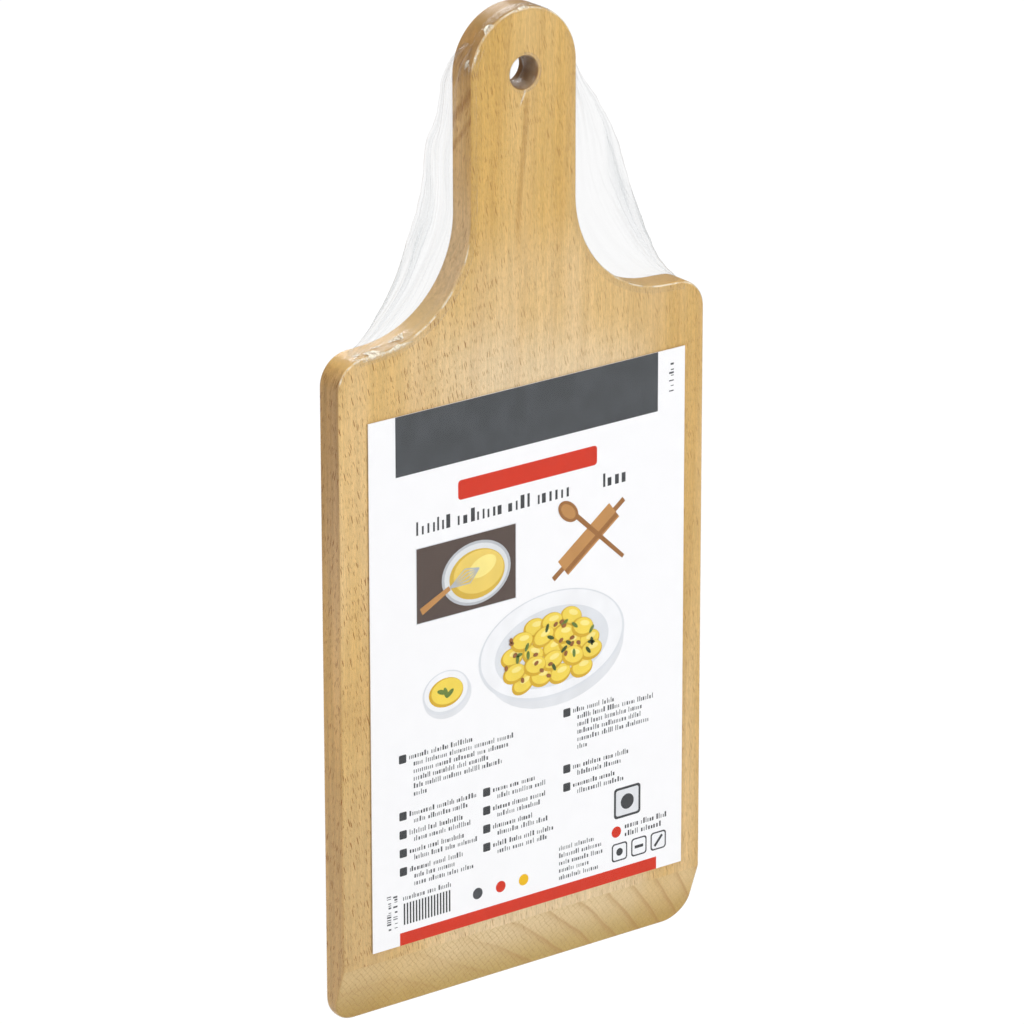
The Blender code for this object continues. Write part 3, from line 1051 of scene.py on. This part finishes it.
def print_butter_bowl(sheet):
    """A small bowl of butter with three leaves."""
    right, down = BUTTER_BOWL
    sheet.oval((right + 0.6, down + 1.3), 9.2, 7.4, "pale_grey")
    sheet.oval((right, down), 9.0, 7.2, "dish_well", 1)
    sheet.oval((right, down - 0.3), 8.3, 6.5, "dish_rim", 2)
    sheet.oval((right, down), 6.6, 4.8, "dumpling_shade", 3)
    sheet.oval((right + 0.4, down - 0.3), 6.0, 4.2, "dumpling", 4)
    for i, turn in enumerate((20, 75, 140)):
        leaf = (right - 1.6 + 1.5 * i, down - 0.4 + 0.5 * i)
        sheet.oval(leaf, 1.9, 0.8, "leaf", 5 + i, turn, 10)


def print_foot(sheet, dice):
    """Plain bars, chips and outlined squares along the card's foot."""
    sheet.bar(STRIP, "red")
    sheet.words(11.6, 157.4, 18.4, 1.7, "small_print", dice)
    for i in range(16):
        sheet.bar((11.8 + i * 1.16, 160.2, 0.58, 7.2), "icon_grey")
    for left, ink in ((38.5, "charcoal"), (47.5, "red"), (56.5, "yellow")):
        sheet.oval((left + 1.9, 164.2), 1.9, 1.9, ink)
    for row, width in enumerate((17, 18, 17.5, 12, 18.5)):
        sheet.words(72.4, 156.4 + row * 2.5, width, 1.6, "small_print", dice)
    sheet.round_bar((94.2, 142.6, 10.6, 10.4), 1.2, "icon_grey")
    sheet.round_bar((95.0, 143.4, 9.0, 8.8), 0.8, "pale_grey", 1)
    sheet.oval((99.5, 147.8), 2.6, 2.6, "icon_grey", 2)
    sheet.oval((95.2, 157.4), 1.9, 1.9, "red")
    sheet.words(98.6, 155.2, 17.0, 1.8, "icon_grey", dice)
    sheet.words(98.6, 157.9, 18.0, 1.8, "icon_grey", dice)
    for left in (93.4, 101.2, 109.0):
        sheet.round_bar((left, 161.4, 6.2, 6.2), 1.1, "icon_grey")
        sheet.round_bar((left + 0.5, 161.9, 5.2, 5.2), 0.8, "dish_rim", 1)
    sheet.oval((96.5, 164.5), 1.3, 1.3, "icon_grey", 2)
    sheet.stroke((102.6, 164.5), (106.0, 164.5), 1.0, "icon_grey", 2)
    sheet.stroke((110.6, 166.2), (113.6, 162.8), 0.9, "icon_grey", 2)


def print_margins(sheet, dice):
    """Strokes that run along the card's left and right margins."""
    sheet.words_down(115.2, 4.6, 1.8, 9.4, "small_print", dice)
    sheet.words_down(5.4, 156.4, 1.6, 11.4, "small_print", dice)
    sheet.words_down(7.8, 156.8, 1.6, 11.0, "small_print", dice)


class SPAETZLE_OT_printed_card(bpy.types.Operator):
    """Gives the card its paper and lays the print on it"""

    bl_idname = "spaetzle.printed_card"
    bl_label = "Printed card"

    def execute(self, context):
        card = context.scene.spaetzle_card
        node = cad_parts["printed_card"]
        node.data.materials.clear()
        node.data.materials.append(paper_material(card))
        dice = random.Random(card.seed)
        sheet = CardPrint(card)
        sheet.bar(BAND, "charcoal")
        print_heading(sheet, dice)
        print_tile(sheet)
        print_pin_and_spoon(sheet)
        print_dish(sheet, dice)
        print_butter_bowl(sheet)
        print_small_text(sheet, dice)
        print_foot(sheet, dice)
        print_margins(sheet, dice)
        bmesh.ops.recalc_face_normals(sheet.shape, faces=sheet.shape.faces)
        inks = []
        for name, colour in INKS:
            uneven = BAND_UNEVEN if name == "charcoal" else INK_UNEVEN
            inks.append(ink_material(name, colour or getattr(card, name), uneven))
        new_piece("card_print", sheet.shape, inks)
        return {"FINISHED"}


# Points on the webs' outer edges, from the shoulder up: distance from the middle, and height
LEFT_SEAM = (
    (0.0495, -0.0654),
    (0.0408, -0.0468),
    (0.0350, -0.0298),
    (0.0335, -0.0169),
    (0.0303, -0.0102),
    (0.0282, -0.0022),
    (0.0272, 0.0027),
    (0.0229, 0.0085),
)
RIGHT_SEAM = (
    (0.0563, -0.0715),
    (0.0492, -0.0574),
    (0.0448, -0.0449),
    (0.0401, -0.0317),
    (0.0311, -0.0146),
    (0.0230, -0.0014),
)
# Where a web starts on the shoulder and ends on the handle, and how far off its edge starts
WEB_FROM_SIDE = 0.0078
WEB_BELOW_TOP = 0.0100
WEB_HUG = 0.0012
# How far a web laps over the skin, and the share of its grid that does so
WEB_TAB = 0.0016
WEB_TAB_SHARE = 0.05
WEB_ALONG = 150
WEB_ACROSS = 72
# Width of the film's ramp round the card, and how far off the card counts as on it
CARD_RAMP = 0.0009
CARD_MARGIN = 0.0002
FACES_FRONT = -0.999
# Where the board's edge lies across a ruffle, and the steps across it
RUFFLE_EDGE_AT = 0.22
RUFFLE_ACROSS = 14
RUFFLE_ALONG = 120
# Where the ruffles lie, as angles round the handle's end and the shoulder's corner
HANDLE_RUFFLE = (radians(60), radians(176))
SHOULDER_RUFFLE_FROM = radians(66)
BEND_STEPS = 8
# Points along the neck's fillet, and how many of them the shoulder's ruffle takes
FILLET_STEPS = 60
RUFFLED_STEPS = 16
END_RIM_STEPS = 20
SEAM_STEPS = 16
LIP_SIDES = 96
# How deep the lip still lies flat, how deep it is fully crumpled, and how far inwards
LIP_FLAT = 0.0002
LIP_ROUGH = 0.003
LIP_CRUMPLE = 0.0010


def evenly_spaced(points, count):
    """count points at equal steps along a run of straight lines, both ends included."""
    lengths = [0.0]
    for start, end in zip(points, points[1:]):
        lengths.append(lengths[-1] + (end - start).length)
    spaced = []
    line = 0
    for i in range(count):
        want = lengths[-1] * i / (count - 1)
        while line < len(points) - 2 and lengths[line + 1] < want:
            line += 1
        share = (want - lengths[line]) / (lengths[line + 1] - lengths[line])
        spaced.append(points[line].lerp(points[line + 1], share))
    return spaced


def web_rim(wood):
    """Where the right web leaves the board's flat face, from the shoulder up to the handle."""
    inset = wood.edge_rounding
    half_handle = wood.handle_width / 2
    fillet = neck_arc(wood, -inset, FILLET_STEPS)
    reach_x = BOARD_HIGH.x - WEB_FROM_SIDE
    start = Vector((reach_x, fillet[0].y - tan(wood.shoulder_fall) * (reach_x - fillet[0].x)))
    below_top = asin((half_handle - WEB_BELOW_TOP) / (half_handle - inset))
    handle = arc(end_centre(wood), half_handle - inset, 0, below_top, END_RIM_STEPS)
    return evenly_spaced([start] + fillet + handle, WEB_ALONG + 1)


def smooth_run(points, steps):
    """A curve through all the points, with this many steps from each to the next."""
    padded = [points[0] * 2 - points[1], *points, points[-1] * 2 - points[-2]]
    curve = []
    for before, start, end, after in zip(padded, padded[1:], padded[2:], padded[3:]):
        for step in range(steps):
            share = step / steps
            bend = (before * 2 - start * 5 + end * 4 - after) * share**2
            twist = (start * 3 - before - end * 3 + after) * share**3
            curve.append((start * 2 + (end - before) * share + bend + twist) / 2)
    curve.append(points[-1])
    return curve


def web_seam(rim, edge):
    """The web's outer edge: a curve that starts and ends close to the board."""
    outwards = []
    for a, b in ((rim[0], rim[1]), (rim[-2], rim[-1])):
        along = (b - a).normalized()
        outwards.append(Vector((along.y, -along.x)))
    start = rim[0] + outwards[0] * WEB_HUG
    end = rim[-1] + outwards[1] * WEB_HUG
    points = [start] + [Vector(point) for point in edge] + [end]
    return evenly_spaced(smooth_run(points, SEAM_STEPS), WEB_ALONG + 1)


def fold_height(film, along, reach, face, side):
    """How far a web's sheet stands out from a straight line between rim and seam."""
    ends = min(1.0, 4 * along, 6 * (1 - along))
    held = sin(pi * min(1.0, reach * 1.04)) ** 0.6 if reach < 0.96 else 0.3
    wide = noise.noise(Vector((reach * 5.0, along * 1.1, 7.0 * side + 3.0 * face)))
    thin = noise.noise(Vector((reach * 15.0, along * 2.2, 5.0 * side - 2.0 * face)))
    folds = (wide + 0.55 * thin) * film.fold_height * (0.4 + 0.6 * ends)
    rough = noise.noise(Vector((reach * 9.0, along * 60.0, 11.0 * side + face)))
    crumple = rough * film.crumple_height * max(0.0, 1 - 8 * min(along, (1 - along) * 1.6))
    return (folds + crumple) * held


def unit_sheet(along, across):
    """A flat square grid with its UV map, ready to be bent into place."""
    shape = bmesh.new()
    bmesh.ops.create_grid(shape, x_segments=along, y_segments=across, size=0.5)
    layer = shape.loops.layers.uv.new("folds")
    for face in shape.faces:
        for loop in face.loops:
            loop[layer].uv = (loop.vert.co.x + 0.5, loop.vert.co.y + 0.5)
    return shape


def film_piece(name, shape, material, film, smooth=True, outside=False):
    """Makes a piece of a sheet of film, with the film's thickness round it or outside it."""
    bmesh.ops.recalc_face_normals(shape, faces=shape.faces)
    piece = new_piece(name, shape, [material])
    if smooth:
        piece.data.shade_smooth()
    wall = piece.modifiers.new("film_thickness", "SOLIDIFY")
    wall.thickness = film.thickness
    wall.offset = 1.0 if outside else 0.0
    wall.use_even_offset = outside
    apply_modifiers(piece)
    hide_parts("shrink_film")
    return piece


def film_web(name, film, wood, side, edge, material):
    """Front sheet, seam and back sheet of one web, as one folded sheet."""
    rim = web_rim(wood)
    seam = web_seam(rim, edge)
    level = BOARD_HIGH.y + film.clearance * 1.5 + film.thickness * 2
    shape = unit_sheet(WEB_ALONG, WEB_ACROSS)
    for vert in shape.verts:
        along = vert.co.x + 0.5
        across = vert.co.y + 0.5
        face = -1 if across < 0.5 else 1
        index = round(along * WEB_ALONG)
        inner, outer = rim[index], seam[index]
        outward = (outer - inner).normalized()
        from_rim = min(across, 1 - across) * 2
        if from_rim < WEB_TAB_SHARE:
            place = inner - outward * WEB_TAB * (1 - from_rim / WEB_TAB_SHARE)
            reach = 0.0
        else:
            reach = (from_rim - WEB_TAB_SHARE) / (1 - WEB_TAB_SHARE)
            ripple = noise.noise(Vector((along * 7.0, 2.0 * side, 0.5))) * film.ripple
            ripple += noise.noise(Vector((along * 26.0, 5.0 * side, 0.5))) * film.ripple * 0.35
            place = inner.lerp(outer + outward * ripple * min(1, 5 * (1 - along)), reach)
        stand = fold_height(film, along, reach, face, side) if reach > 0 else 0.0
        depth = face * (level * (1 - reach) + stand)
        vert.co = (side * place.x, depth, place.y)
    film_piece(name, shape, material, film)


def cover_card(shape, film, card):
    """Lifts the film's front over the card, with a short ramp round it."""
    inner = (CARD_LOW.x, CARD_HIGH.x, CARD_LOW.z, CARD_HIGH.z)
    planes = []
    for position, way in zip(inner, (-1, 1, -1, 1)):
        planes += [position + way * CARD_MARGIN / 2, position + way * CARD_RAMP]
    for index, position in enumerate(planes):
        normal = Vector((1, 0, 0)) if index < 4 else Vector((0, 0, 1))
        front = [face for face in shape.faces if face.normal.y < FACES_FRONT]
        parts = set(front)
        for face in front:
            parts.update(face.edges)
            parts.update(face.verts)
        bmesh.ops.bisect_plane(
            shape, geom=list(parts), plane_co=normal * position, plane_no=normal
        )
    lift = BOARD_LOW.y - film.clearance - CARD_LOW.y + INK_LAYERS * card.ink_thickness
    for vert in shape.verts:
        inside_x = CARD_LOW.x - CARD_MARGIN < vert.co.x < CARD_HIGH.x + CARD_MARGIN
        inside_z = CARD_LOW.z - CARD_MARGIN < vert.co.z < CARD_HIGH.z + CARD_MARGIN
        if inside_x and inside_z and vert.co.y < 0:
            vert.co.y -= lift


def film_skin(wood, film, card):
    """The film where it lies on wood and card, open round the hanging hole."""
    shape = paddle(wood, film.clearance)
    cover_card(shape, film, card)
    skin = film_piece("film_skin", shape, skin_film_material(film), film, outside=True)
    bore(skin, wood.hole_diameter + 2 * film.opening_margin)
    shade_round(skin)


def over_edge(point, outward, distance, radius, front):
    """A place on the film round a front edge, and the way it faces.

    distance runs from the front face (below 0) over the edge to the side (above 0).
    """
    quarter = radius * pi / 4
    lean = pi / 4 * (1 + max(-1.0, min(1.0, distance / quarter)))
    flat = point - outward * radius + outward * radius * sin(lean)
    depth = front + radius - radius * cos(lean)
    beyond = abs(distance) - quarter
    if beyond > 0 and distance < 0:
        flat -= outward * beyond
    elif beyond > 0:
        depth += beyond
    facing = Vector((outward.x * sin(lean), -cos(lean), outward.y * sin(lean)))
    return Vector((flat.x, depth, flat.y)), facing


def film_ruffle(name, film, wood, path, width, height, crumpled, seed):
    """A crumpled band of film along a stretch of the board's front edge.

    crumpled is how much of it shows as white facets, painted highlights.
    """
    count = len(path) - 1
    front = BOARD_LOW.y - film.clearance - film.thickness
    shape = unit_sheet(count, RUFFLE_ACROSS)
    for vert in shape.verts:
        along = vert.co.x + 0.5
        across = vert.co.y
        index = round(along * count)
        before, after = path[max(0, index - 1)], path[min(count, index + 1)]
        tangent = (after - before).normalized()
        outward = Vector((tangent.y, -tangent.x))
        point = path[index] + outward * (film.clearance + film.thickness)
        radius = wood.edge_rounding + film.clearance
        distance = (across + 0.5 - RUFFLE_EDGE_AT) * width
        place, facing = over_edge(point, outward, distance, radius, front)
        rough = noise.noise(Vector((along * 34, across * 3.0, seed)))
        rough += 0.5 * noise.noise(Vector((along * 90, across * 7.0, seed + 5)))
        held = min(1.0, 6 * (0.5 - abs(across)), 8 * along, 8 * (1 - along))
        vert.co = place + facing * (film.thickness + height * held * abs(rough))
    length = sum((b - a).length for a, b in zip(path, path[1:])) / width
    material = ruffle_film_material(film, name, length, crumpled)
    film_piece(name, shape, material, film, smooth=False)


def film_ruffles(wood, film):
    """Crumples round the handle's end, and where the left web reaches its shoulder."""
    top = arc(end_centre(wood), wood.handle_width / 2, *HANDLE_RUFFLE, RUFFLE_ALONG)
    low = film.ruffle * 0.5
    film_ruffle("film_ruffle_handle", film, wood, top, 0.0050, low, crumpled=0.20, seed=1.0)
    fillet = neck_arc(wood, 0, FILLET_STEPS)
    turn = (SHOULDER_RUFFLE_FROM, pi / 2 - wood.shoulder_fall)
    bend = arc(shoulder_centre(wood), wood.shoulder_corner, *turn, BEND_STEPS)
    run = evenly_spaced(bend + fillet[:RUFFLED_STEPS], RUFFLE_ALONG + 1)
    left = [Vector((-point.x, point.y)) for point in reversed(run)]
    high = film.ruffle * 1.3
    film_ruffle("film_ruffle_shoulder", film, wood, left, 0.0070, high, crumpled=0.62, seed=2.0)


def hole_lip(wood, film):
    """The torn edge of the film, turned into the hanging hole and crumpled there."""
    bore_radius = wood.hole_diameter / 2
    face = BOARD_LOW.y - film.clearance - film.thickness
    profile = (
        (bore_radius + 0.0012, face - 0.00005),
        (bore_radius + 0.0003, face - 0.00004),
        (bore_radius - 0.0002, face + 0.0003),
        (bore_radius - 0.0004, face + 0.0009),
        (bore_radius - 0.0005, face + 0.0020),
        (bore_radius - 0.0005, face + 0.0038),
        (bore_radius - 0.0007, face + 0.0062),
    )
    shape = bmesh.new()
    verts = [shape.verts.new((radius, depth, 0)) for radius, depth in profile]
    edges = [shape.edges.new(pair) for pair in zip(verts, verts[1:])]
    bmesh.ops.spin(
        shape,
        geom=verts + edges,
        cent=(0, 0, 0),
        axis=(0, 1, 0),
        angle=2 * pi,
        steps=LIP_SIDES,
        use_merge=True,
        use_duplicate=False,
    )
    bmesh.ops.remove_doubles(shape, verts=shape.verts, dist=CLOSE)
    for vert in shape.verts:
        deep = vert.co.y - face
        if deep > LIP_FLAT:
            angle = atan2(vert.co.z, vert.co.x)
            rough = noise.noise(Vector((cos(angle) * 3.0, sin(angle) * 3.0, deep * 300)))
            inward = (0.5 + 0.5 * rough) * min(1.0, deep / LIP_ROUGH) * LIP_CRUMPLE
            radius = hypot(vert.co.x, vert.co.z)
            share = (radius - inward) / radius
            vert.co.x *= share
            vert.co.z *= share
    film_piece("film_hole_lip", shape, lip_film_material(film), film)


class SPAETZLE_OT_shrink_film(bpy.types.Operator):
    """Adds the film's skin, its two webs, its ruffles and its edge in the hanging hole"""

    bl_idname = "spaetzle.shrink_film"
    bl_label = "Shrink film"

    def execute(self, context):
        scene = context.scene
        wood, card, film = scene.spaetzle_beech, scene.spaetzle_card, scene.spaetzle_film
        film_skin(wood, film, card)
        left_film = web_film_material(film, smooth_from=0.36, least=0.12)
        right_film = web_film_material(film, smooth_from=0.25, least=0.05)
        film_web("film_web_left", film, wood, -1, LEFT_SEAM, left_film)
        film_web("film_web_right", film, wood, 1, RIGHT_SEAM, right_film)
        film_ruffles(wood, film)
        hole_lip(wood, film)
        return {"FINISHED"}


# Each lamp's place, its width and the setting that holds its power
LAMPS = (
    ("key_lamp", (0.75, -1.62, 0.45), 0.9, "key_power"),
    ("rim_lamp", (-1.30, -0.45, 1.05), 1.0, "rim_power"),
    ("back_lamp", (0.60, 1.60, 0.90), 1.0, "back_power"),
    ("top_lamp", (0.05, 0.40, 1.60), 0.8, "top_power"),
)
FLOOR_REACH = 12.0
# Where the camera stands, and how it is turned: to the board's left, looking down
CAMERA_PLACE = Vector((-1.1700, -1.5762, 0.5936))
CAMERA_YAW = 0.6381
CAMERA_PITCH = 0.3591
CAMERA_ROLL = -0.0015


def area_lamp(name, place, target, size, power):
    lamp = bpy.data.lights.new(name, "AREA")
    lamp.shape = "DISK"
    lamp.size = size
    lamp.energy = power
    stand = bpy.data.objects.new(name, lamp)
    stand.location = place
    stand.rotation_euler = (target - Vector(place)).to_track_quat("-Z", "Y").to_euler()
    bpy.context.scene.collection.objects.link(stand)


def add_camera(studio):
    lens = bpy.data.cameras.new("camera")
    lens.lens = studio.lens
    lens.sensor_width = 36.0
    lens.clip_end = 100.0
    camera = bpy.data.objects.new("camera", lens)
    camera.location = CAMERA_PLACE
    turn = (
        Matrix.Rotation(-CAMERA_YAW, 4, "Z")
        @ Matrix.Rotation(pi / 2 - CAMERA_PITCH, 4, "X")
        @ Matrix.Rotation(CAMERA_ROLL, 4, "Z")
    )
    camera.rotation_euler = turn.to_euler()
    bpy.context.scene.collection.objects.link(camera)
    bpy.context.scene.camera = camera


def add_room(studio):
    """Even white light all round, which the camera sees as white."""
    shader = Shader("studio", for_world=True)
    strength = shader.direct_rays().between(0.0, 1.0, studio.room_light, 1.0)
    room = shader.node("Background", {"Color": (1.0, 1.0, 1.0), "Strength": strength})[0]
    bpy.context.scene.world = shader.finish(room, "OutputWorld")


class SPAETZLE_OT_studio(bpy.types.Operator):
    """Adds the pale floor, the soft lamps, the even light and the camera"""

    bl_idname = "spaetzle.studio"
    bl_label = "Studio"

    def execute(self, context):
        studio = context.scene.spaetzle_studio
        shape = bmesh.new()
        level = Matrix.Translation((0, 0, BOARD_LOW.z - studio.floor_drop))
        bmesh.ops.create_grid(shape, x_segments=8, y_segments=8, size=FLOOR_REACH, matrix=level)
        new_object("pale_floor", shape, [floor_material(studio)])
        middle = (BOARD_LOW + BOARD_HIGH) / 2
        for name, place, size, power in LAMPS:
            area_lamp(name, place, middle, size, getattr(studio, power))
        add_room(studio)
        add_camera(studio)
        context.scene.view_settings.view_transform = "Standard"
        context.scene.cycles.transparent_max_bounces = 32
        return {"FINISHED"}


class SPAETZLE_PT_pieces(bpy.types.Panel):
    """Lists the pieces and their sizes and colours"""

    bl_label = "Spaetzle board"
    bl_idname = "SPAETZLE_PT_pieces"
    bl_space_type = "VIEW_3D"
    bl_region_type = "UI"
    bl_category = "Spaetzle board"

    def draw(self, context):
        scene = context.scene
        sections = (
            (SPAETZLE_OT_beech_board, scene.spaetzle_beech),
            (SPAETZLE_OT_printed_card, scene.spaetzle_card),
            (SPAETZLE_OT_shrink_film, scene.spaetzle_film),
            (SPAETZLE_OT_studio, scene.spaetzle_studio),
        )
        for operator, settings in sections:
            box = self.layout.box()
            for name in settings.__annotations__:
                box.prop(settings, name)
            box.operator(operator.bl_idname)


SETTINGS = (
    ("spaetzle_beech", BeechSettings),
    ("spaetzle_card", CardSettings),
    ("spaetzle_film", FilmSettings),
    ("spaetzle_studio", StudioSettings),
)
CLASSES = (
    *(kind for name, kind in SETTINGS),
    SPAETZLE_OT_beech_board,
    SPAETZLE_OT_printed_card,
    SPAETZLE_OT_shrink_film,
    SPAETZLE_OT_studio,
    SPAETZLE_PT_pieces,
)


def register():
    for kind in CLASSES:
        bpy.utils.register_class(kind)
    for name, kind in SETTINGS:
        setattr(bpy.types.Scene, name, PointerProperty(type=kind))


def unregister():
    for name, kind in SETTINGS:
        delattr(bpy.types.Scene, name)
    for kind in reversed(CLASSES):
        bpy.utils.unregister_class(kind)


def main():
    register()
    bpy.ops.spaetzle.beech_board()
    bpy.ops.spaetzle.printed_card()
    bpy.ops.spaetzle.shrink_film()
    bpy.ops.spaetzle.studio()


if __name__ == "__main__":
    main()
